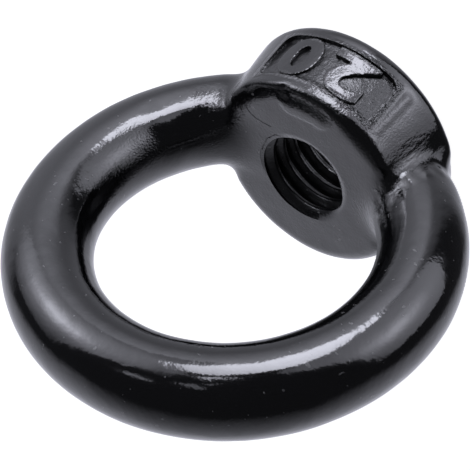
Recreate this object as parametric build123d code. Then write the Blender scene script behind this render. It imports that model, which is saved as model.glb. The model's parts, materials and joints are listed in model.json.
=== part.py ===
from build123d import *
import os
from math import atan, cos, degrees, radians, sqrt, tan

# Lifting eye nut for an M8 bolt, drop forged in one piece: a tapered round boss with a bore for the
# thread, and a closed ring of round bar that grows out of both sides of the boss.
# Frame: +Z up the thread's axis, origin at the centre of the seating face, the ring in the XZ plane.
# All sizes are in millimetres.

# Ring
EYE_D = 20.0          # clear diameter of the eye
BAR_D = 6.5           # diameter of the ring's round bar
RING_EXIT_H = 1.37    # the ring's outside leaves the boss this far above the seat

# Boss
FACE_RISE = 1.7       # the flat face inside the eye stands this far above the eye's lowest point
SEAT_D = 18.3         # diameter of the tapered side carried down to the seat
FACE_D = 16.0         # diameter of the tapered side carried up to the flat face
SEAT_EDGE_R = 1.0     # rounding between the seat and the tapered side
FACE_EDGE_R = 1.1     # rounding between the tapered side and the flat face
BLEND_R = 2.0         # hollow fillet where the ring runs into the boss

# Bore for a metric coarse thread
THREAD_D = 8.0        # nominal diameter
THREAD_PITCH = 1.25
SEAT_SINK_D = 8.8     # mouth of the countersink in the seat, where the bolt enters
FACE_SINK_D = 7.8     # mouth of the smaller countersink in the flat face
SINK_ANGLE = 45       # countersink walls, in degrees from the axis

# Recessed panel for a size mark, pressed into the side of the boss that faces -Y
PANEL_W = 9.9         # across, along X
PANEL_TO_SEAT = 1.6   # height of its lower edge above the seat
PANEL_TO_FACE = 1.2   # its upper edge lies this far below the flat face
PANEL_CORNER_R = 0.8
PANEL_DEPTH = 0.3     # measured square to the tapered side

TOOL_RUN = 5.0        # how far cutting shapes run past the forging

eye_r = EYE_D / 2
bar_r = BAR_D / 2
ring_r = eye_r + BAR_D
eye_centre_h = RING_EXIT_H + sqrt(ring_r**2 - (SEAT_D / 2) ** 2)
face_h = eye_centre_h - eye_r + FACE_RISE
bore_r = (THREAD_D - 1.0825 * THREAD_PITCH) / 2
taper = atan((SEAT_D - FACE_D) / 2 / face_h)


def boss():
    """The tapered boss: half its section, rounded at the seat and at the flat face, turned about Z."""
    section = make_face(Polyline((0, 0), (SEAT_D / 2, 0), (FACE_D / 2, face_h), (0, face_h), close=True))
    section = fillet(section.vertices().sort_by(Axis.X)[-1], SEAT_EDGE_R)
    face_corner = section.vertices().group_by(Axis.Y)[-1].sort_by(Axis.X)[-1]
    section = fillet(face_corner, FACE_EDGE_R)
    return revolve(Plane.XZ * section, axis=Axis.Z)


def ring():
    """The ring: the bar's circle turned about the eye's axis, then cut flush with the seat."""
    bar = Pos(eye_r + bar_r, 0, eye_centre_h) * Circle(bar_r)
    whole = revolve(bar, axis=Axis((0, 0, eye_centre_h), (0, 1, 0)))
    below_seat = Pos(0, 0, -ring_r / 2) * Box(2 * ring_r, 2 * BAR_D, ring_r)
    return whole - below_seat


def forging():
    """Boss and ring in one, with a hollow fillet all along the line where they meet."""
    stem = boss()
    eye = ring()
    joined = stem + eye
    return fillet(new_edges(stem, eye, combined=joined), BLEND_R)


def bore():
    """The plain bore that the thread is cut in, with a countersink at each mouth."""
    slope = tan(radians(SINK_ANGLE))
    seat_sink = (SEAT_SINK_D / 2 - bore_r) / slope
    face_sink = (FACE_SINK_D / 2 - bore_r) / slope
    section = Polyline(
        (0, -TOOL_RUN),
        (SEAT_SINK_D / 2 + TOOL_RUN * slope, -TOOL_RUN),
        (bore_r, seat_sink),
        (bore_r, face_h - face_sink),
        (FACE_SINK_D / 2, face_h),
        (FACE_SINK_D / 2, face_h + TOOL_RUN),
        (0, face_h + TOOL_RUN),
        close=True,
    )
    return revolve(Plane.XZ * make_face(section), axis=Axis.Z)


def panel():
    """The recess for the size mark: a rounded block pressed in along Y, down to a floor like the taper."""
    floor_inset = PANEL_DEPTH / cos(taper)
    reach = TOOL_RUN * tan(taper)
    section = Polyline(
        (0, -TOOL_RUN),
        (SEAT_D / 2 + reach - floor_inset, -TOOL_RUN),
        (FACE_D / 2 - reach - floor_inset, face_h + TOOL_RUN),
        (0, face_h + TOOL_RUN),
        close=True,
    )
    core = revolve(Plane.XZ * make_face(section), axis=Axis.Z)
    panel_h = face_h - PANEL_TO_SEAT - PANEL_TO_FACE
    outline = Pos(0, PANEL_TO_SEAT + panel_h / 2) * RectangleRounded(PANEL_W, panel_h, PANEL_CORNER_R)
    return extrude(Plane.XZ * outline, amount=SEAT_D) - core


def eye_nut():
    """The finished nut, one solid."""
    nut = forging() - bore() - panel()
    nut.label = "eye_nut"
    return nut


os.makedirs("parts", exist_ok=True)
export_step(eye_nut(), "parts/eye_nut.step")
print("eye centre", round(eye_centre_h, 3), "face", round(face_h, 3), "bore radius", round(bore_r, 4),
      "taper", round(degrees(taper), 2))
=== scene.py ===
# %% [markdown]
# # A forged lifting eye nut in black enamel
#
# The real nut is one piece of steel. A hot billet is squeezed between two dies into a tapered boss and
# a closed ring, the boss is drilled and tapped for an M8 bolt, and the whole nut is dipped in thick
# black enamel. This script loads the CAD model as a fixed frame, models the nut again with the softness
# that forging and enamel give it, and then makes its finish, its lights and its camera.

import json
import math
import time

import bpy
import numpy as np
from mathutils import Matrix, Quaternion, Vector


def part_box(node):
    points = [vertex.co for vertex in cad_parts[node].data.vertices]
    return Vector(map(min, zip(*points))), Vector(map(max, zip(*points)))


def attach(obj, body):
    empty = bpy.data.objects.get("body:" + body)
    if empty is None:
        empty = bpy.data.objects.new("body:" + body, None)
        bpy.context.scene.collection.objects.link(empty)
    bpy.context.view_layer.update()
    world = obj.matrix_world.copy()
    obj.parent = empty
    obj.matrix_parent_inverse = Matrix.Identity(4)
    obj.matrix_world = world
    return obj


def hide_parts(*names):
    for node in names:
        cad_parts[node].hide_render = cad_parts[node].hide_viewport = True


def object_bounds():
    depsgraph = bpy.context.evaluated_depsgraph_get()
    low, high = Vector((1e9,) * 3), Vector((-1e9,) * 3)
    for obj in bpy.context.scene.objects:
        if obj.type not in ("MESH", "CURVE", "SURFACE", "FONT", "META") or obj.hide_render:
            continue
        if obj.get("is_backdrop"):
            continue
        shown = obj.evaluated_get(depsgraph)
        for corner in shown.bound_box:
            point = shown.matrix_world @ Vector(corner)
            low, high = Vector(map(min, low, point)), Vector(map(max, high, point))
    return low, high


clock = time.time()
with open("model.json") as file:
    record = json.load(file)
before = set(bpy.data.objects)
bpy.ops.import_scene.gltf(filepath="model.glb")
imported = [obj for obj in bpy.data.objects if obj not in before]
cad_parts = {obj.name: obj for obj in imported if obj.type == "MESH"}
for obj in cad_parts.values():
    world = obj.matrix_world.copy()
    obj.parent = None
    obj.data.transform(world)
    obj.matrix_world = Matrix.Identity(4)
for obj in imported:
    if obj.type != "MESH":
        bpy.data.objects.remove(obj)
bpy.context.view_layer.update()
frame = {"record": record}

# %% [markdown]
# ## Sizes
#
# Everything is in metres, and the CAD model says where things are: its box gives the ring, and the mounts
# in its record give the eye, the bore and the flat face. Only what the CAD model leaves out, such as the
# thread, gets a size of its own here. The two radii of the boss are those of its tapered side, carried on
# past the rounded rims.

# %% Read the nut's sizes
MM = 0.001

mounts = {m["name"]: m for m in frame["record"]["mounts"]}
nut_low, nut_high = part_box("eye_nut")

ring_r = nut_high.x
eye_r = mounts["eye"]["dims"]["r_mm"] * MM
bar_r = (ring_r - eye_r) / 2
eye_h = mounts["eye"]["pos_m"][2]
face_h = mounts["eye_flat"]["pos_m"][2]
bore_r = mounts["thread"]["dims"]["r_mm"] * MM

SEAT_R = 9.15 * MM  # of the tapered side at the seat
FACE_R = 8.0 * MM  # and at the flat face
taper = math.atan((SEAT_R - FACE_R) / face_h)
print("eye radius", round(eye_r / MM, 3), "bar radius", round(bar_r / MM, 3), "mm")
print("eye height", round(eye_h / MM, 3), "mm, taper", round(math.degrees(taper), 2), "degrees")

# %% [markdown]
# ## Helpers that choose
#
# Most pieces start as a primitive and are shaped in edit mode, where a tool acts on whatever is selected.
# These helpers choose a whole piece, or the vertices or edges of it that lie in some place, which numpy
# finds faster than a loop over the mesh could.

# %% Helpers that choose
def take(piece):
    """Selects one piece only and makes it the active one."""
    bpy.ops.object.select_all(action="DESELECT")
    piece.select_set(True)
    bpy.context.view_layer.objects.active = piece


def just_made(name):
    """The primitive that was just added, named, with its place and turn put in its mesh."""
    bpy.ops.object.transform_apply(location=True, rotation=True, scale=True)
    piece = bpy.context.object
    piece.name = name
    return piece


def spots(piece):
    """Where the vertices are, one row each."""
    flat = np.empty(3 * len(piece.data.vertices), np.float32)
    piece.data.vertices.foreach_get("co", flat)
    return flat.reshape(-1, 3)


def edge_ends(piece):
    """The two ends of every edge, as two arrays of places."""
    ends = np.empty(2 * len(piece.data.edges), np.int32)
    piece.data.edges.foreach_get("vertices", ends)
    at = spots(piece)
    return at[ends[0::2]], at[ends[1::2]]


def edit(piece, kind, wanted):
    """Edit mode, with the vertices (VERT) or edges (EDGE) selected for which wanted is true."""
    take(piece)
    bpy.ops.object.mode_set(mode="EDIT")
    bpy.ops.mesh.select_mode(type=kind)
    bpy.ops.mesh.select_all(action="DESELECT")
    bpy.ops.object.mode_set(mode="OBJECT")
    parts = piece.data.vertices if kind == "VERT" else piece.data.edges
    parts.foreach_set("select", np.asarray(wanted, bool))
    bpy.ops.object.mode_set(mode="EDIT")


def edit_all(piece):
    """Edit mode, with every vertex selected."""
    edit(piece, "VERT", np.ones(len(piece.data.vertices), bool))


def done():
    """Leaves edit mode."""
    bpy.ops.object.mode_set(mode="OBJECT")


# %% [markdown]
# ## Helpers that change
#
# A modifier changes a whole piece at once. Here each one is applied as soon as it is added, so that the
# next step works on its result. Closed pieces are joined and cut with the manifold solver, which is quick
# and keeps the result closed.

# %% Helpers that change
def modify(piece, kind, **settings):
    """Adds a modifier with these settings and applies it."""
    take(piece)
    modifier = piece.modifiers.new(kind.title(), kind)
    for setting, value in settings.items():
        setattr(modifier, setting, value)
    bpy.ops.object.modifier_apply(modifier=modifier.name)


def combine(piece, operation, other):
    """Joins, cuts or keeps the common part of two closed pieces, and removes the second one."""
    modify(piece, "BOOLEAN", operation=operation, object=other, solver="MANIFOLD")
    bpy.data.objects.remove(other)


def report(piece, said):
    """Prints what was done to a piece, and how many triangles it has."""
    triangles = sum(len(face.vertices) - 2 for face in piece.data.polygons)
    print(f"{time.time() - clock:6.1f} s  {piece.name}: {said}, {triangles} triangles")


# %% [markdown]
# ## The ring
#
# On the real nut the ring's metal flows from the boss round to the far side and back, so the bar is a
# little thicker where it leaves the boss. A torus gives the round bar, a cut at the seat ends it flush,
# and two soft moves give it the forging's uneven thickness: the inner side drifts a little, and the bar
# swells towards the boss.

# %% The ring
DRIFT = (-0.147 * MM, 0, 0.1 * MM)  # of the ring's inner side
SWELL = 1.07  # of the bar across the ring, at the boss
SWELL_REACH = 20 * MM
WELD = 1e-7  # what lies closer than this counts as one place, m

bpy.ops.object.select_all(action="DESELECT")
bpy.ops.mesh.primitive_torus_add(
    location=(0, 0, eye_h),
    rotation=(math.radians(90), 0, 0),
    major_segments=256,
    minor_segments=128,
    major_radius=eye_r + bar_r,
    minor_radius=bar_r,
)
ring = just_made("ring")

at = spots(ring)
inner_side = np.hypot(at[:, 0], at[:, 2] - eye_h) < eye_r + 0.05 * MM
edit(ring, "VERT", inner_side)
bpy.ops.transform.translate(
    value=DRIFT,
    use_proportional_edit=True,
    proportional_edit_falloff="LINEAR",
    proportional_size=2 * bar_r,
)
done()

at_seat = spots(ring)[:, 2] < 3 * MM
edit(ring, "VERT", at_seat)
bpy.ops.transform.resize(
    value=(1, SWELL, 1),
    center_override=(0, 0, 0),
    use_proportional_edit=True,
    proportional_edit_falloff="SMOOTH",
    proportional_size=SWELL_REACH,
)
bpy.ops.mesh.select_all(action="SELECT")
bpy.ops.mesh.bisect(
    plane_co=(0, 0, 0), plane_no=(0, 0, 1), clear_inner=True, use_fill=True, threshold=WELD,
)
done()
report(ring, "bar turned into a ring and cut flush with the seat")

# %% [markdown]
# ## The boss
#
# The boss is a blunt cone, because a forging must taper to leave its die. Its seat rim has an even
# rounding. The rim of the flat face was never machined, so its rounding wanders: wide where the die
# wore, nearly sharp in front, over the size panel. One bevel with a weight on each edge of the rim gives
# that wandering width.

# %% The boss
SEAT_ROUNDING = 1.2 * MM

# azimuth from -Y towards +X in degrees, and how far the rounding of the flat face's rim reaches in, mm
FACE_ROUNDING = [
    (-180, 1.0), (-130, 1.0), (-85, 0.9), (-58, 0.75), (-49, 0.95), (-42, 1.05), (-30, 1.0), (-25, 0.7),
    (-20, 0.4), (28, 0.4), (37, 0.7), (44, 0.5), (56, 0.5), (75, 0.9), (120, 1.0),
]


def boss_blank(name, inset=(0.0, 0.0), rise=0.0):
    """The tapered boss with sharp rims; its side is moved in by inset (at the seat, at the face), and
    its ends are carried out by rise."""
    low_r = SEAT_R - inset[0]
    high_r = FACE_R - inset[1]
    flare = rise * (low_r - high_r) / face_h
    bpy.ops.object.select_all(action="DESELECT")
    bpy.ops.mesh.primitive_cone_add(
        vertices=360,
        radius1=low_r + flare,
        radius2=high_r - flare,
        depth=face_h + 2 * rise,
        location=(0, 0, face_h / 2),
    )
    return just_made(name)


boss = boss_blank("boss")
start, end = edge_ends(boss)
middle = (start + end) / 2
level = np.abs(start[:, 2] - end[:, 2]) < 0.001 * MM
azimuth = np.degrees(np.arctan2(middle[:, 0], -middle[:, 1]))
rounding = np.interp(azimuth, *zip(*FACE_ROUNDING), period=360) * MM
rounding = np.where(middle[:, 2] > face_h / 2, rounding, SEAT_ROUNDING)
widest = rounding.max()
weights = boss.data.attributes.new("bevel_weight_edge", "FLOAT", "EDGE")
weights.data.foreach_set("value", np.where(level, rounding / widest, 0).astype(np.float32))
modify(
    boss, "BEVEL", limit_method="WEIGHT", offset_type="OFFSET", width=widest, segments=10,
    use_clamp_overlap=False,
)
report(boss, "rims rounded")

# %% [markdown]
# ## Forge the boss and the ring into one
#
# The dies leave no seam between boss and ring. The two closed pieces are united, and a fine voxel skin
# then gives the whole forging one even mesh, which can be pushed and smoothed anywhere.

# %% Forge them together
NUT_SKIN = 0.2 * MM

nut = boss
nut.name = "forged_eye_nut"
combine(nut, "UNION", ring)
modify(nut, "REMESH", mode="VOXEL", voxel_size=NUT_SKIN)
report(nut, "boss and ring in one even skin")

# %% [markdown]
# ## Helpers for the hollow
#
# A fillet made by smoothing needs to know where to act. Distances from the two ideal shapes, the bar and
# the tapered boss, find the crease between them, and a vertex group keeps the smoothing to that place and
# lets it fade out.

# %% Helpers for the hollow
WEIGHT_STEPS = 20


def weigh(piece, name, weights):
    """A vertex group with one weight for each vertex, to the nearest step."""
    group = piece.vertex_groups.new(name=name)
    for step in range(1, WEIGHT_STEPS + 1):
        chosen = np.flatnonzero(np.round(weights * WEIGHT_STEPS) == step)
        group.add(chosen.tolist(), step / WEIGHT_STEPS, "REPLACE")
    return name


def ease(low, high, value):
    """0 below low, 1 above high and a smooth rise between them."""
    t = np.clip((value - low) / (high - low), 0, 1)
    return t * t * (3 - 2 * t)


def off_crease(at):
    """Distance from the line where the ring's skin meets the skin of the boss."""
    around = np.hypot(at[:, 0], at[:, 2] - eye_h) - (eye_r + bar_r)
    off_bar = np.hypot(around, at[:, 1]) - bar_r
    side = (np.hypot(at[:, 0], at[:, 1]) - SEAT_R + at[:, 2] * math.tan(taper)) * math.cos(taper)
    off_boss = np.maximum(side, at[:, 2] - face_h)
    return np.maximum(np.abs(off_bar), np.abs(off_boss))


def soften(name, reach, times, zone=1.0):
    """Smooths the skin within reach of the crease, many times over, inside a zone."""
    weights = zone * (1 - ease(0.45 * reach, reach, off_crease(spots(nut))))
    modify(nut, "SMOOTH", factor=0.5, iterations=times, vertex_group=weigh(nut, name, weights))


# %% [markdown]
# ## The hollow where the ring meets the boss
#
# Hot metal can't fill or leave a sharp inside corner, so the forging has a hollow fillet there, and the
# enamel fills it a little more. Smoothing that fades out away from the crease rounds it. Inside the eye,
# on the side away from the worn rim, the flat face runs into the ring through a far softer hollow, so that
# end is smoothed much longer.

# %% Blend the ring into the boss
soften("crease", reach=1.6 * MM, times=90)

x, y, z = spots(nut).T
at_face = ease(face_h - 0.8 * MM, face_h - 0.1 * MM, z)
in_front = 1 - ease(0.8 * MM, 2.6 * MM, y)
behind_rim = ease(-3.6 * MM, -2.2 * MM, y)
to_right = ease(1 * MM, 3 * MM, x)
soft_end = at_face * in_front * (behind_rim * to_right * (x < eye_r + bar_r))
soften("soft_end", reach=3.8 * MM, times=340, zone=soft_end)

modify(nut, "SMOOTH", factor=0.5, iterations=4)
report(nut, "blended")

# %% [markdown]
# ## Helpers for pushing the skin
#
# No forging is as even as its drawing. What the dies and the scale left behind is made by soft pushes in
# edit mode: the nearest vertex to each place is moved, and proportional editing carries its neighbours
# along. A noise roughens a whole piece at once.

# %% Helpers for pushing the skin
def refine(places, reach):
    """Splits the faces of the skin near these places (mm), so that finer shapes can be pushed into it."""
    at = spots(nut)
    wanted = np.zeros(len(at), bool)
    for place in places:
        wanted |= np.linalg.norm(at - np.array(place) * MM, axis=1) < reach * MM
    edit(nut, "VERT", wanted)
    bpy.ops.mesh.subdivide(number_cuts=1, smoothness=0)
    done()


def push(places, by, reach, falloff="SMOOTH"):
    """Moves the skin at these places (mm) by a vector (mm), fading out at reach (mm)."""
    at = spots(nut)
    wanted = np.zeros(len(at), bool)
    for place in places:
        away = np.linalg.norm(at - np.array(place) * MM, axis=1)
        wanted[np.argmin(away)] = True
    edit(nut, "VERT", wanted)
    bpy.ops.transform.translate(
        value=[v * MM for v in by],
        use_proportional_edit=True,
        proportional_edit_falloff=falloff,
        proportional_size=reach * MM,
    )
    done()


def roughen(piece, size, depth, shift):
    """Moves the skin in and out by a noise with lumps of this size; shift picks another part of it."""
    noise = bpy.data.textures.new(piece.name, "CLOUDS")
    noise.noise_scale = size
    noise.noise_depth = 2
    noise_place = bpy.data.objects.new("noise_place", None)
    bpy.context.scene.collection.objects.link(noise_place)
    noise_place.location = (shift, 0, 0)
    modify(
        piece, "DISPLACE", texture=noise, texture_coords="OBJECT", texture_coords_object=noise_place,
        strength=depth, mid_level=0.5,
    )
    bpy.data.objects.remove(noise_place)


# %% [markdown]
# ## The worn rim
#
# The rim of the flat face is worn low in front, and a raised lens of metal lies just inside the worn part.
# The rim is pushed down along two arcs. Under the lens the skin is first split finer, and then pushed up
# with a round falloff, which keeps the edge of the lens crisp.

# %% The worn rim
FACE_MM = face_h / MM


def on_face(radius, first, last):
    """Places on the flat face (mm), every 3 degrees of azimuth from first to last."""
    turns = [math.radians(a) for a in range(first, last + 1, 3)]
    return [(radius * math.sin(t), -radius * math.cos(t), FACE_MM) for t in turns]


push(on_face(radius=7.5, first=-14, last=10), by=(0, 0, -0.2), reach=1.25)
push(on_face(radius=7.7, first=13, last=55), by=(0, 0, -0.12), reach=0.9)

lens = [(x, -6.85 + 0.05 * x * x, FACE_MM - 0.05) for x in (-1.5, -1.0, -0.5, 0.0, 0.5, 0.9)]
refine(lens, reach=1.4)
push(lens, by=(0, 0, 0.085), reach=1.2, falloff="SPHERE")
report(nut, "rim worn")

# %% [markdown]
# ## Ridges and crests
#
# A soft ridge runs down the boss beside the size panel, where the die was pressed in. A blunt crest runs
# along the inner side of the ring's front, up from the corner beside the boss, and the bar is worn a
# little flat just outside it. Each is a row of places that is pushed as one.

# %% Ridges and crests
CREST_R = 12.4  # of the worn line along the front of the ring, mm from the middle of the eye

ridge = [(-5.66 + 0.01 * step, -6.82 + 0.028 * step, 1.9 + 0.17 * step) for step in range(21)]
refine(ridge, reach=0.7)
push(ridge, by=(-0.04, -0.05, 0), reach=0.6)

inner_crest = [(8.4 + 0.25 * step, -2.95, 7.2 + 0.39 * step) for step in range(9)]
push(inner_crest, by=(0, -0.13, 0), reach=1.6)

turns = [math.radians(a) for a in range(-42, -23, 2)]
worn_crest = [(CREST_R * math.cos(t), -bar_r / MM, eye_h / MM + CREST_R * math.sin(t)) for t in turns]
push(worn_crest, by=(0, 0.06, 0), reach=1.8)
report(nut, "ridges and crests raised and worn")

# %% [markdown]
# ## The fat corner and its lumps
#
# Beside the corner on the -X side the rim stands fat, and the metal is lumpy where ring, rim and flat face
# meet. The lumps are single small pushes, and a broad shallow noise over the whole nut takes the last
# evenness out of it.

# %% The fat corner and its lumps
fat_rim = [(x, y, FACE_MM - 0.4) for x, y, _ in on_face(radius=7.75, first=-62, last=-29)]
push(fat_rim, by=(-0.10, -0.09, -0.02), reach=1.3)

# where each lump lies, how far it is pushed and its reach, mm
LUMPS = [
    ((-7.9, -2.0, 7.3), (-0.05, -0.12, 0.10), 0.9),
    ((-7.3, -2.9, 6.6), (-0.05, -0.10, 0.08), 0.7),
    ((-6.9, -1.6, 7.2), (0.06, 0.02, -0.10), 0.7),
    ((-7.4, -1.2, 7.6), (0.03, 0.0, 0.09), 0.6),
    ((-8.2, -3.2, 5.6), (-0.04, -0.10, 0.05), 0.9),
    ((-8.9, -3.1, 4.4), (-0.05, -0.09, 0.0), 0.8),
    ((-9.3, -2.9, 3.0), (-0.05, -0.07, 0.0), 0.8),
    ((-8.8, -2.5, 1.0), (-0.24, -0.04, 0.0), 1.4),
    ((7.6, -2.6, 7.1), (0.03, -0.08, 0.06), 0.9),
    ((6.3, -4.4, 6.3), (0.0, -0.05, 0.05), 0.8),
]
for place, by, reach in LUMPS:
    push([place], by, reach)
roughen(nut, size=3.0 * MM, depth=0.05 * MM, shift=9 * MM)
report(nut, "pushed out of true")

# %% [markdown]
# ## The recess for the size mark
#
# A punch with a raised border pressed the panel into the hot boss. The recess is deepest towards the seat
# and almost runs out towards the flat face, its floor is rough, and its walls are steep but ragged. The
# cutter is a block with rounded corners whose inner side is shaped by a slimmer boss; a fine skin and a
# small noise make it ragged before it is cut away.

# %% Press in the panel
PANEL_W = 9.9 * MM
PANEL_LOW = 1.6 * MM
PANEL_HIGH = face_h - 1.2 * MM
PANEL_CORNER_R = 0.8 * MM
PANEL_INSET = (0.5 * MM, 0.06 * MM)  # of the floor, carried down to the seat and up to the flat face
PANEL_SKIN = 0.085 * MM
BLOCK_THICK = 3 * MM  # of the block that the cutter is made from
BLOCK_SINK = 1 * MM  # of its middle, inside the side of the boss
BLANK_RUN = 2 * MM  # how far a slimmer boss runs past both ends of the nut's own

bpy.ops.object.select_all(action="DESELECT")
bpy.ops.mesh.primitive_cube_add(
    size=1,
    location=(0, -SEAT_R + BLOCK_SINK, (PANEL_LOW + PANEL_HIGH) / 2),
    scale=(PANEL_W, BLOCK_THICK, PANEL_HIGH - PANEL_LOW),
)
panel = just_made("panel")
start, end = edge_ends(panel)
runs_inwards = np.abs(start[:, 1] - end[:, 1]) > 1 * MM
edit(panel, "EDGE", runs_inwards)
bpy.ops.mesh.bevel(offset=PANEL_CORNER_R, offset_type="OFFSET", segments=6, profile=0.5)
done()
combine(panel, "DIFFERENCE", boss_blank("panel_floor", inset=PANEL_INSET, rise=BLANK_RUN))
modify(panel, "REMESH", mode="VOXEL", voxel_size=PANEL_SKIN)
modify(panel, "SMOOTH", factor=0.5, iterations=1)
roughen(panel, size=0.6 * MM, depth=0.06 * MM, shift=0.0)
report(panel, "panel cutter")
combine(nut, "DIFFERENCE", panel)

# %% [markdown]
# ## A helper that closes up
#
# A text turned to a mesh, and a chain of points turned about an axis, both come with doubled points and
# faces that may look inwards. A cut needs a closed piece with its faces turned outwards, so each cutter is
# merged, trimmed where it has to be, and turned the right way.

# %% A helper that closes up
def close_up(piece, cuts=()):
    """Merges doubles, trims at each (height, side), and turns the faces outwards."""
    edit_all(piece)
    bpy.ops.mesh.remove_doubles(threshold=WELD)
    for height, side in cuts:
        bpy.ops.mesh.select_all(action="SELECT")
        bpy.ops.mesh.bisect(
            plane_co=(0, 0, height), plane_no=(0, 0, 1), use_fill=True, threshold=WELD,
            clear_inner=side == "below", clear_outer=side == "above",
        )
    bpy.ops.mesh.select_all(action="SELECT")
    bpy.ops.mesh.normals_make_consistent(inside=False)
    done()


# %% [markdown]
# ## Raised figures
#
# The mark stands up from the floor of the recess to about the level of the boss. It's a plain size number,
# heavy and blunt like all forged figures. Each figure is a text turned to a mesh, stretched to its size,
# trimmed to the curve of the boss, and given its own fine skin, roughened and then softened by two rounds
# of smoothing.

# %% Raised figures
FIGURES = [("2", -1.75, 3.5), ("0", 2.3, 3.1)]  # the figure, its middle along X and its width, mm
FIGURE_H = 3.75 * MM
FIGURE_MIDDLE = 3.6 * MM  # height of their middle
FIGURE_INSET = (0.03 * MM, 0.0)  # of their faces, carried down to the seat and up to the flat face
FIGURE_THICK = 2.8 * MM  # of the block that a figure is cut from
FIGURE_SINK = 0.6 * MM  # of its middle, inside the side of the boss, so that it grows out of the floor
FIGURE_SKIN = 0.07 * MM


def figure_block(figure, middle, width):
    """One figure as a straight block, standing in the side of the boss."""
    bpy.ops.object.select_all(action="DESELECT")
    bpy.ops.object.text_add(location=(0, 0, 0))
    words = bpy.context.object
    words.data.body = figure
    words.data.extrude = 0.5  # to either side, so the block is 1 thick before it is scaled
    words.data.offset = 0.04  # fattens the strokes
    words.data.resolution_u = 8
    bpy.ops.object.convert(target="MESH")
    block = bpy.context.object
    at = spots(block)
    low, high = at.min(axis=0), at.max(axis=0)
    bpy.ops.object.origin_set(type="ORIGIN_GEOMETRY", center="BOUNDS")
    block.scale = (width / (high[0] - low[0]), FIGURE_H / (high[1] - low[1]), FIGURE_THICK)
    block.rotation_euler = (math.radians(90), 0, 0)
    reach = math.sqrt(SEAT_R**2 - middle**2)
    block.location = (middle, -reach + FIGURE_SINK, FIGURE_MIDDLE)
    block = just_made("figure_" + figure)
    close_up(block)
    return block


for figure, middle, width in FIGURES:
    block = figure_block(figure, middle * MM, width * MM)
    combine(block, "INTERSECT", boss_blank("figure_faces", inset=FIGURE_INSET, rise=BLANK_RUN))
    modify(block, "REMESH", mode="VOXEL", voxel_size=FIGURE_SKIN)
    roughen(block, size=0.8 * MM, depth=0.05 * MM, shift=3 * MM)
    modify(block, "SMOOTH", factor=0.5, iterations=2)
    report(block, "raised figure")
    combine(nut, "UNION", block)

# %% [markdown]
# ## Drill
#
# The hole is bored after forging. Its mouth in the flat face has a small worn lip, its mouth in the seat a
# countersink for the bolt to enter by. The drill is a chain of points turned once about the axis by a
# screw modifier, which needs no more than the outline that a lathe would follow.

# %% Drill
SEAT_SINK_R = 4.4 * MM
MOUTH_R = 3.85 * MM  # of the worn lip in the flat face
LIP_DEPTH = 0.09 * MM
RUN = 3 * MM  # how far the drill runs past both mouths


def wire(name, points):
    """An open chain of edges through these (radius, height) points, in the XZ plane."""
    mesh = bpy.data.meshes.new(name)
    corners = [(r, 0, z) for r, z in points]
    edges = [(i, i + 1) for i in range(len(points) - 1)]
    mesh.from_pydata(corners, edges, [])
    piece = bpy.data.objects.new(name, mesh)
    bpy.context.scene.collection.objects.link(piece)
    return piece


drill_r = bore_r - 0.03 * MM
drill = wire("drill", [
    (0, -RUN),
    (SEAT_SINK_R + RUN, -RUN),
    (drill_r, SEAT_SINK_R - drill_r),
    (drill_r, face_h - LIP_DEPTH - 0.12 * MM),
    (drill_r + 0.03 * MM, face_h - LIP_DEPTH - 0.05 * MM),
    (drill_r + 0.10 * MM, face_h - LIP_DEPTH),
    (MOUTH_R - 0.1 * MM, face_h - 0.01 * MM),
    (MOUTH_R + 0.1 * MM, face_h + 0.02 * MM),
    (MOUTH_R + 0.1 * MM, face_h + RUN),
    (0, face_h + RUN),
])
modify(drill, "SCREW", steps=192, render_steps=192, use_merge_vertices=True, merge_threshold=WELD)
close_up(drill)
combine(nut, "DIFFERENCE", drill)
report(nut, "drilled")

# %% [markdown]
# ## Tap
#
# A tap cuts the thread. Here it is the outline of one tooth, turned about the axis nine times while it
# climbs one pitch each turn, and trimmed to the height of the boss. The enamel rounds the crests of the
# thread, so the roots of the tap, which leave those crests, are rounded too.

# %% Tap
PITCH = 1.25 * MM
TAP_TURN = math.radians(73)  # where round the axis the thread breaks out of the flat face
TAP_RUN = 0.4 * PITCH  # how far the tap runs past the seat and the flat face

# half of the tap's tooth: how far along the axis from its middle, and how far out from the axis, mm
TOOTH = [(0.08, 4.0), (0.43, 3.39), (0.50, 3.345), (0.56, 3.328), (0.625, 3.3234)]

profile = [(r * MM, -z * MM) for z, r in reversed(TOOTH)] + [(r * MM, z * MM) for z, r in TOOTH]
tap = wire("tap", [(r, z - 2 * PITCH) for r, z in profile])
modify(
    tap, "SCREW", steps=144, render_steps=144, screw_offset=PITCH, iterations=9,
    use_merge_vertices=True, merge_threshold=WELD,
)
close_up(tap, [(-TAP_RUN, "below"), (face_h + TAP_RUN, "above")])
edit_all(tap)
bpy.ops.transform.rotate(value=TAP_TURN, orient_axis="Z", center_override=(0, 0, 0))
done()
combine(nut, "DIFFERENCE", tap)
report(nut, "tapped")

# %% [markdown]
# ## Hairline folds
#
# Where the skin of the hot metal folded over on itself it leaves a hairline groove. One curls across the
# flat face near the ring, and a ragged one follows the lip of the bore. Each is a bent round wire, sunk
# about half its thickness and cut away.

# %% Hairline folds
def groove(name, points, wire_r):
    """Cuts a round-bottomed hairline along these places with a wire of radius wire_r, all in mm."""
    curve = bpy.data.curves.new(name, "CURVE")
    curve.dimensions = "3D"
    line = curve.splines.new("NURBS")
    line.points.add(len(points) - 1)
    for point, place in zip(line.points, points):
        point.co = (*(v * MM for v in place), 1)
    line.use_endpoint_u = True
    line.order_u = 3
    curve.resolution_u = 6
    curve.bevel_depth = wire_r * MM
    curve.bevel_resolution = 2
    curve.use_fill_caps = True
    piece = bpy.data.objects.new(name, curve)
    bpy.context.scene.collection.objects.link(piece)
    take(piece)
    bpy.ops.object.convert(target="MESH")
    piece = bpy.context.object
    close_up(piece)
    combine(nut, "DIFFERENCE", piece)


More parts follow.
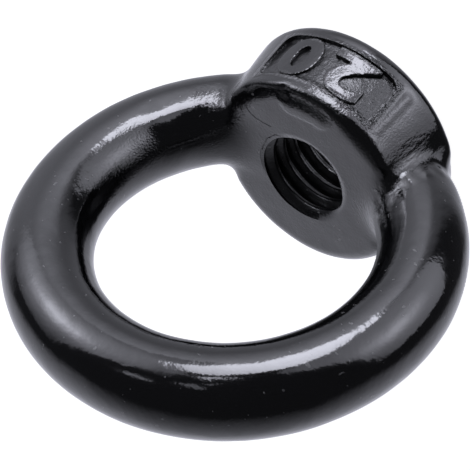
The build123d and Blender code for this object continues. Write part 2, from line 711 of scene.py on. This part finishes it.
face_fold = [
    (5.15, -5.0, FACE_MM - 0.06), (5.15, -4.4, FACE_MM - 0.02), (4.6, -3.8, FACE_MM),
    (3.8, -3.5, FACE_MM), (2.8, -3.5, FACE_MM),
]
groove("face_fold", face_fold, wire_r=0.045)

lip_fold = [
    (3.78, -0.75, FACE_MM), (3.6, -1.35, FACE_MM), (3.42, -1.6, FACE_MM), (3.25, -2.2, FACE_MM),
    (2.95, -2.35, FACE_MM), (2.6, -2.85, FACE_MM), (2.2, -2.9, FACE_MM), (1.75, -3.15, FACE_MM),
]
groove("lip_fold", lip_fold, wire_r=0.05)

take(nut)
bpy.ops.object.shade_smooth_by_angle(angle=math.radians(35))
nut.vertex_groups.clear()
report(nut, "finished mesh")

# %% [markdown]
# ## Camera
#
# The nut keeps its upright frame, seat down and ring up, and the camera goes round it instead. It looks
# down on the panel's side of the boss and through the eye with a long lens, and is rolled over, so that the
# ring seems to lie on a table with the size panel turned up to the lamp.

# %% Camera
VIEW_AZIMUTH = -32.644  # degrees from -Y towards +X
VIEW_ELEVATION = 31.488
VIEW_ROLL = 226.057
VIEW_DISTANCE = 120.15 * MM
VIEW_ASIDE = (0.0774 * MM, 0.6451 * MM)  # to the camera's own right and up from the middle of the eye
LENS = 130.30  # mm

bpy.ops.object.select_all(action="DESELECT")
bpy.ops.object.camera_add()
camera = bpy.context.object
camera.name = "camera"
camera.data.sensor_width = 36
camera.data.lens = LENS
azimuth, elevation = math.radians(VIEW_AZIMUTH), math.radians(VIEW_ELEVATION)
level = math.cos(elevation)
back = Vector((math.sin(azimuth) * level, -math.cos(azimuth) * level, math.sin(elevation)))
turn = back.to_track_quat("Z", "Y") @ Quaternion((0, 0, 1), math.radians(VIEW_ROLL))
camera.rotation_mode = "QUATERNION"
camera.rotation_quaternion = turn
camera.location = Vector((0, 0, eye_h)) + turn @ Vector((*VIEW_ASIDE, VIEW_DISTANCE))
camera.data.clip_start = 10 * MM
camera.data.clip_end = 10
bpy.context.scene.camera = camera
print("camera at, mm:", [round(v / MM, 1) for v in camera.location])

# %% [markdown]
# ## Shader maths as plain expressions
#
# The enamel and the lights mix many noises and zones. A small class wraps a node's output so that these
# can be written with + - * / and **, and one function adds every other node.

# %% Node helper
class Value:
    """One output socket of a node, so that shader maths can be written as plain expressions."""

    def __init__(self, tree, socket):
        self.tree = tree
        self.socket = socket

    def maths(self, operation, other, swap=False):
        """A Math node of this value and another; swap puts the other one first."""
        inputs = [other, self] if swap else [self, other]
        return node(self.tree, "ShaderNodeMath", {"operation": operation}, dict(enumerate(inputs)))

    def __add__(self, other):
        return self.maths("ADD", other)

    __radd__ = __add__

    def __sub__(self, other):
        return self.maths("SUBTRACT", other)

    def __rsub__(self, other):
        return self.maths("SUBTRACT", other, swap=True)

    def __mul__(self, other):
        return self.maths("MULTIPLY", other)

    __rmul__ = __mul__

    def __truediv__(self, other):
        return self.maths("DIVIDE", other)

    def __pow__(self, other):
        return self.maths("POWER", other)

    def __rpow__(self, other):
        return self.maths("POWER", other, swap=True)

    def larger(self, other):
        """The larger of this value and another."""
        return self.maths("MAXIMUM", other)

    def rise(self, low, high):
        """0 below low, 1 above high, smooth between."""
        settings = {"interpolation_type": "SMOOTHSTEP"}
        sockets = {"Value": self, "From Min": low, "From Max": high}
        return node(self.tree, "ShaderNodeMapRange", settings, sockets)


def node(tree, kind, settings=None, sockets=None, out=0):
    """Adds a node: first its settings, then its sockets, each a number, a colour or a Value. Returns the
    output called out, by name or by number, or nothing where out is None."""
    made = tree.nodes.new(kind)
    for setting, value in (settings or {}).items():
        setattr(made, setting, value)
    for name, value in (sockets or {}).items():
        if isinstance(value, Value):
            tree.links.new(value.socket, made.inputs[name])
        else:
            made.inputs[name].default_value = value
    return None if out is None else Value(tree, made.outputs[out])


# %% [markdown]
# ## Black enamel: noises and zones
#
# The nut is dipped in a thick black enamel, so nearly all that is seen of it is the room in its gloss. What
# varies over it is either a noise or a zone. All of them are worked out from the place on the nut, so
# nothing has to be unwrapped or painted. These helpers make a noise with grains of some size, a round spot
# and a band.

# %% Noises and zones
enamel = bpy.data.materials.new("black_enamel")
enamel.use_nodes = True
tree = enamel.node_tree
shader = tree.nodes["Principled BSDF"]
place = node(tree, "ShaderNodeTexCoord", out="Object")
x = node(tree, "ShaderNodeSeparateXYZ", {}, {0: place}, out="X")
y = node(tree, "ShaderNodeSeparateXYZ", {}, {0: place}, out="Y")
z = node(tree, "ShaderNodeSeparateXYZ", {}, {0: place}, out="Z")


def grain(size, detail=2.0, stretch=(1, 1, 1), turn=0):
    """A noise around 0 with grains size mm across, drawn out along axes turned about Z by some degrees."""
    settings = {"vector_type": "TEXTURE"}
    scale = [size * MM * s for s in stretch]
    turned = {"Vector": place, "Rotation": (0, 0, math.radians(turn)), "Scale": scale}
    cells = node(tree, "ShaderNodeMapping", settings, turned)
    return node(tree, "ShaderNodeTexNoise", {}, {"Vector": cells, "Scale": 1.0, "Detail": detail}) - 0.5


def near(spot, core, edge):
    """1 within core of a spot and 0 beyond edge of it, all in mm."""
    ends = {0: place, 1: [v * MM for v in spot]}
    away = node(tree, "ShaderNodeVectorMath", {"operation": "DISTANCE"}, ends, out="Value")
    return 1 - away.rise(core * MM, edge * MM)


def band(value, low, high, soft):
    """1 from low to high and 0 further out than soft from there, all in mm."""
    return value.rise((low - soft) * MM, low * MM) * (1 - value.rise(high * MM, (high + soft) * MM))


# %% [markdown]
# ## Black enamel: where it differs
#
# The coat isn't the same everywhere. The floor of the size panel and the bore show the forging scale
# through a thin coat, the panel's outline carries streaks and nicks, the metal is rough in the corners
# beside the ring and on the worn rim, and the side of the boss has a wrinkled patch and a drawn one. The
# peel is coarser on the boss and on one stretch of the ring's inner side. Each zone is 1 where it holds
# and 0 elsewhere, with a soft edge.

# %% Where the enamel differs
RECESS_HALF = 4.9  # half the width of the recess along X, mm

low, high = PANEL_LOW / MM, PANEL_HIGH / MM
radius = (x * x + y * y) ** 0.5
inside_skin = SEAT_R - z * math.tan(taper) - radius
panel_side = (0 - y).rise(5.5 * MM, 5.8 * MM)


def framed(inset, soft):
    """1 inside a frame that is set in from the panel's outline, mm."""
    half = RECESS_HALF - inset
    return band(x, -half, half, soft) * band(z, low + 0.1 + inset, high - 0.1 - inset, soft)


in_panel = band(inside_skin, 0.12, 1.0, 0.07) * band(x, -RECESS_HALF, RECESS_HALF, 0.05)
in_panel = in_panel * band(z, low, high, 0.1) * panel_side
outline = (framed(0, 0.45) - framed(0.4, 0.4)) * band(radius, 7.6, 9.3, 0.1) * panel_side
in_bore = (1 - radius.rise(4.05 * MM, 4.2 * MM)) * (1 - z.rise(face_h - 0.3 * MM, face_h - 0.2 * MM))

worn_rim = near((-0.6, -7.7, 6.3), 1.2, 2.4) * 0.7
left_corner = near((-7.6, -2.2, 6.9), 0.8, 2.0)
right_corner = near((6.5, -3.4, 6.8), 0.8, 1.8).larger(near((8.7, -3.1, 6.3), 1.0, 2.2))
rough_metal = left_corner.larger(right_corner).larger(worn_rim)
wrinkled = near((-7.7, -3.9, 3.6), 0.9, 2.0)
drawn = near((-5.9, 0.6, 6.8), 0.8, 2.0)

boss_skin = near((0, 0, 4.5), 8.0, 10.0)
inner_stretch = near((10.2, -1.8, 16.2), 1.3, 2.8).larger(near((10.2, -1.9, 13.0), 1.3, 2.8))
coarse = boss_skin.larger(inner_stretch)
print("black enamel, zones:", len(tree.nodes), "nodes")

# %% [markdown]
# ## Black enamel: its surface
#
# A dipped coat has long soft waves and a fine peel, and it follows the scale, wrinkles and drawn streaks of
# the metal under it. These are too fine for the mesh, so a bump gives them. Each layer is a noise times
# its depth in millimetres times the zone that it belongs to.

# %% The enamel's surface
waves = grain(1.7, 1) * 0.02 * MM
fine_peel = grain(0.3, 2) * 0.006 * MM
finest_peel = grain(0.15, 2) * MM * (0.0015 + 0.017 * coarse)
peel = fine_peel + waves + finest_peel

scale_marks = grain(0.35, 3) * 0.04 * MM * rough_metal
nicks = (grain(0.22, 3) * 0.16 + 0.06) * MM * outline
wrinkles = grain(0.35, 3, stretch=(1, 1, 2.5)) * 0.08 * MM * wrinkled
streaks = grain(0.12, 2, stretch=(6, 1, 1), turn=122) * 0.04 * MM * drawn
marks = scale_marks + nicks + wrinkles + streaks

cast_floor = grain(0.16, 3) * 0.035 * MM * in_panel
cast_bore = grain(0.25, 2) * 0.02 * MM * in_bore
height = peel + marks + (cast_floor + cast_bore)

bump = node(tree, "ShaderNodeBump", {}, {"Height": height, "Distance": 1.0})
tree.links.new(bump.socket, shader.inputs["Normal"])
tree.links.new(bump.socket, shader.inputs["Coat Normal"])
print("black enamel, with its surface:", len(tree.nodes), "nodes")

# %% [markdown]
# ## Black enamel: colour and gloss
#
# Under the clear top of the enamel lies a slightly rough near-black, so the material has a coat over its
# base. The base is duller and the coat weaker where the scale shows through, and a few grey specks lie
# in it: partly dust, and partly painted glints that stand in for the sparkle of tiny bumps in the enamel.

# %% The enamel's colour and gloss
BLACK = (0.0035, 0.0036, 0.0042, 1)
# grey of the specks: dust, and painted glints
DUST_AND_GLINT_GREY = (0.16, 0.16, 0.16, 1)
REFRACTION = 1.5  # index, of the base and of the coat

# specks in the base colour: dust, and painted glints where tiny bumps in the enamel would catch the lamps
dust_and_glints = grain(0.35, 0).rise(0.31, 0.33)
mixed = {0: dust_and_glints, 6: BLACK, 7: DUST_AND_GLINT_GREY}  # a Mix node has its factor at 0 and its colours at 6 and 7
colour = node(tree, "ShaderNodeMix", {"data_type": "RGBA"}, mixed, out=2)
roughness = 0.12 + (in_panel + in_bore) * 0.2 + grain(0.8, 3) * 0.1
coat = 1 - (in_panel * 0.2).larger(in_bore * 0.5)
tree.links.new(colour.socket, shader.inputs["Base Color"])
tree.links.new(roughness.socket, shader.inputs["Roughness"])
tree.links.new(coat.socket, shader.inputs["Coat Weight"])
shader.inputs["IOR"].default_value = REFRACTION
shader.inputs["Coat Roughness"].default_value = 0.04
shader.inputs["Coat IOR"].default_value = REFRACTION
nut.data.materials.clear()
nut.data.materials.append(enamel)
print("black enamel, finished:", len(tree.nodes), "nodes")

# %% [markdown]
# ## The studio's own axes
#
# The nut is shown lying on its side, while its frame is upright, so the studio gets axes of its own. Its up
# leans a little from the nut's -Y side, and its away and right follow from the camera. A direction is then
# given as on a globe, by its angle from straight up and its angle round.

# %% The studio's own axes
LEAN = math.radians(11.8)  # of the studio's up, from -Y towards -Z

centre = Vector((0, 0, eye_h))
studio_up = Vector((0, -math.cos(LEAN), -math.sin(LEAN)))
studio_away = -(back - back.dot(studio_up) * studio_up).normalized()
studio_right = studio_away.cross(studio_up)


def towards(polar, azimuth):
    """A direction in the studio: polar is measured from straight up, azimuth from away towards the right."""
    t, p = math.radians(polar), math.radians(azimuth)
    level = math.sin(p) * studio_right + math.cos(p) * studio_away
    return math.sin(t) * level + math.cos(t) * studio_up


print("studio up:", [round(v, 3) for v in studio_up], "away:", [round(v, 3) for v in studio_away])

# %% [markdown]
# ## Studio lights
#
# The nut lies under one overhead lamp, with a softbox at either side. Each light's glow fades from a hot
# middle as a real softbox's does; the enamel mirrors its shape, so shape and fade matter more than
# brightness. Each is a panel with a glowing material and not a lamp object, because a material can shape
# the glow across it.

# %% Studio lights
LIGHT = (0.98, 0.99, 1.12, 1)  # the colour of all light in the studio
PANEL_DISTANCE = 0.5  # of each light from the middle of the eye, m
OVERHEAD = 10  # a light nearer to straight up than this, degrees, is squared to the studio's right
SQUARE_CORNER = math.sqrt(0.5)  # from the middle of a panel to its corner, in widths of the panel
OCTAGON_CORNER = 0.54


def glowing(name, size, glows):
    """A material that glows as the sum of some soft round glows, each (level, spread, place)."""
    material = bpy.data.materials.new(name)
    material.use_nodes = True
    tree = material.node_tree
    tree.nodes.clear()
    at = node(tree, "ShaderNodeTexCoord", out="Object")
    u = node(tree, "ShaderNodeSeparateXYZ", {}, {0: at}, out="X") * size[0]
    v = node(tree, "ShaderNodeSeparateXYZ", {}, {0: at}, out="Y") * size[1]
    level = 0.0
    for strength, spread, (right, up) in glows:
        off = (u - right) * (u - right) + (v - up) * (v - up)
        level = strength * (math.e ** (off * (-1 / spread**2))) + level
    lit = node(tree, "ShaderNodeEmission", {}, {"Color": LIGHT, "Strength": level})
    node(tree, "ShaderNodeOutputMaterial", {}, {"Surface": lit}, out=None)
    return material


def softbox(name, polar, azimuth, size, glows, sides=4, corner=SQUARE_CORNER, spin=0):
    """A lit panel that faces the nut. Its size, and the spread and place of its glows, are in panel
    distances; spin turns it in its own plane, degrees."""
    bpy.ops.object.select_all(action="DESELECT")
    bpy.ops.mesh.primitive_circle_add(vertices=sides, radius=corner, fill_type="NGON")
    box = bpy.context.object
    box.rotation_euler = (0, 0, math.pi / sides)
    bpy.ops.object.transform_apply(location=True, rotation=True, scale=True)
    box.name = name

    aim = towards(polar, azimuth)
    across = (studio_up.cross(aim) if polar > OVERHEAD else studio_right).normalized()
    facing = Matrix((across, aim.cross(across), aim)).transposed().to_4x4()
    turn = facing @ Matrix.Rotation(math.radians(spin), 4, "Z")
    box.scale = (size[0] * PANEL_DISTANCE, size[1] * PANEL_DISTANCE, 1)
    box.rotation_euler = turn.to_euler()
    box.location = centre + PANEL_DISTANCE * aim

    box.data.materials.append(glowing(name, size, glows))
    box.visible_camera = False
    box.visible_shadow = False
    box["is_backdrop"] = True
    print(name, "at, mm:", [round(v / MM) for v in box.location])


overhead_glow = [(8.2, 0.6, (-0.02, 0.18))]
left_glows = [(3.4, 0.17, (0.016, 0.05)), (1.8, 0.6, (-0.044, 0.15))]
right_glows = [(1.9, 0.2, (-0.095, -0.08)), (1.4, 1.0, (0.135, 0.02))]
softbox("overhead_lamp", 5.2, 304, (0.48, 0.58), overhead_glow, sides=8, corner=OCTAGON_CORNER, spin=-43)
softbox("left_softbox", 50.5, 280.7, (0.87, 1.34), left_glows)
softbox("right_softbox", 41, 96.2, (0.92, 1.46), right_glows)

# %% [markdown]
# ## The room: directions
#
# Everything else that the gloss mirrors is the room. The world has no pieces to place, only a brightness
# for every direction, so it's built from how far a direction points up, away or to the left, and from how
# squarely it faces the sweep behind the lamp.

# %% The room: directions
SWEEP_AZIMUTH = 350  # of the middle of the sweep behind the lamp, degrees

world = bpy.data.worlds.new("studio")
bpy.context.scene.world = world
world.use_nodes = True
tree = world.node_tree
tree.nodes.clear()
look = node(tree, "ShaderNodeTexCoord", out="Generated")


def lies_along(axis):
    """How far the direction points along an axis: 1 along it, 0 square to it, -1 against it."""
    ends = {0: look, 1: tuple(axis)}
    return node(tree, "ShaderNodeVectorMath", {"operation": "DOT_PRODUCT"}, ends, out="Value")


up = lies_along(studio_up)
down = 0 - up
level_part = (1.0001 - up * up) ** 0.5  # a little over 1, so that it never reaches 0


def faces(axis):
    """1 where the level part of the direction points along a level axis, -1 where it points against it."""
    return lies_along(axis) / level_part


away = faces(studio_away)
to_left = faces(-studio_right)
behind_lamp = faces(towards(90, SWEEP_AZIMUTH))
print("room, directions:", len(tree.nodes), "nodes")

# %% [markdown]
# ## The room: sweep and table
#
# A pale sweep stands behind the nut, with the lamp's halo high up on it and some spill beside the left
# softbox. The white table is mirrored from below: towards the camera it fades to dark well before the
# horizon, and on the far side it stays pale nearly as far as the sweep.

# %% The room: sweep and table
SWEEP_LEVEL = 0.38
SPILL_LEVEL = 0.3
HALO_LEVEL = 1.65

halo = ((up - 0.5) / 0.45).larger(0) ** 2.5 * behind_lamp.rise(0.72, 1.0)
spill = to_left.rise(0.1, 0.7) * up.rise(-0.1, 0.75)
sweep = (SWEEP_LEVEL + SPILL_LEVEL * spill) * behind_lamp.rise(0.44, 0.76) + HALO_LEVEL * halo

table_near = 0.78 * (down - 0.35).larger(0)
table_far = 0.5 * down.rise(0.1, 0.42) + 0.16 * down.rise(0.3, 0.8)
far = away.rise(-1.0, 0.0)
table = table_near * (1 - far) + table_far * far
print("room, with sweep and table:", len(tree.nodes), "nodes")

# %% [markdown]
# ## The room: the dark side
#
# Behind the camera the room is dark, but never black, with a few dim lights that the enamel picks up as
# glints. The camera itself sees plain white.

# %% The room: the dark side
DARK_LEVEL = 0.045

# the dim lights: polar angle, azimuth, level and how wide, degrees
DIM_LIGHTS = [
    (22, 219, 3.4, 4.0), (23, 207, 3.0, 3.5), (33, 240, 0.5, 6.0),
    (43, 211, 0.9, 4.0), (46, 205, 0.8, 4.0), (35, 202, 0.8, 3.0),
    (54, 233, 0.9, 4.0), (54, 228, 1.1, 4.0),
]
dim = DARK_LEVEL
for polar, azimuth, level, wide in DIM_LIGHTS:
    dim = level * lies_along(towards(polar, azimuth)).rise(math.cos(math.radians(wide)), 1) + dim

strength = table.larger(sweep).larger(dim)
room = node(tree, "ShaderNodeBackground", {}, {"Color": LIGHT, "Strength": strength})
paper_white = node(tree, "ShaderNodeBackground", {}, {"Color": (1, 1, 1, 1), "Strength": 1.0})
camera_sees = node(tree, "ShaderNodeLightPath", out="Is Camera Ray")
seen = node(tree, "ShaderNodeMixShader", {}, {0: camera_sees, 1: room, 2: paper_white})
node(tree, "ShaderNodeOutputWorld", {}, {"Surface": seen}, out=None)
print("room, finished:", len(tree.nodes), "nodes")

# %% [markdown]
# ## The floor
#
# A plain white floor lies a hair under the seat, so that the seat's unevenness doesn't cut through it. It
# takes the nut's shadow, glows just enough to look white to the camera, and is kept out of the gloss,
# which already mirrors the table of the room.

# %% Floor
FLOOR_GAP = 0.05 * MM
FLOOR_W = 4
FLOOR_COLOUR = (0.8, 0.8, 0.8, 1)
FLOOR_GLOW = 0.95

bpy.ops.object.select_all(action="DESELECT")
bpy.ops.mesh.primitive_plane_add(size=FLOOR_W, location=(0, 0, nut_low.z - FLOOR_GAP))
floor = bpy.context.object
floor.name = "floor"
paper = bpy.data.materials.new("paper")
paper.use_nodes = True
tree = paper.node_tree
tree.nodes.clear()
white = node(tree, "ShaderNodeBsdfDiffuse", {}, {"Color": FLOOR_COLOUR})
camera_sees = node(tree, "ShaderNodeLightPath", out="Is Camera Ray")
glow = node(tree, "ShaderNodeEmission", {}, {"Color": (1, 1, 1, 1), "Strength": camera_sees * FLOOR_GLOW})
both = node(tree, "ShaderNodeAddShader", {}, {0: white, 1: glow})
node(tree, "ShaderNodeOutputMaterial", {}, {"Surface": both}, out=None)
floor.data.materials.append(paper)
floor.visible_glossy = False
floor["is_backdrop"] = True
print("floor:", FLOOR_W, "m wide,", round(FLOOR_GAP / MM, 3), "mm under the seat")

# %% [markdown]
# ## Hand over
#
# The finished nut takes the place of the CAD nut and rides its frame, and the box of the finished nut is
# printed.

# %% Hand over
bpy.context.scene.view_settings.view_transform = "Standard"
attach(nut, "root")
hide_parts("eye_nut")
low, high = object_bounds()
print("finished box, mm:", [round(v / MM, 2) for v in (*low, *high)])
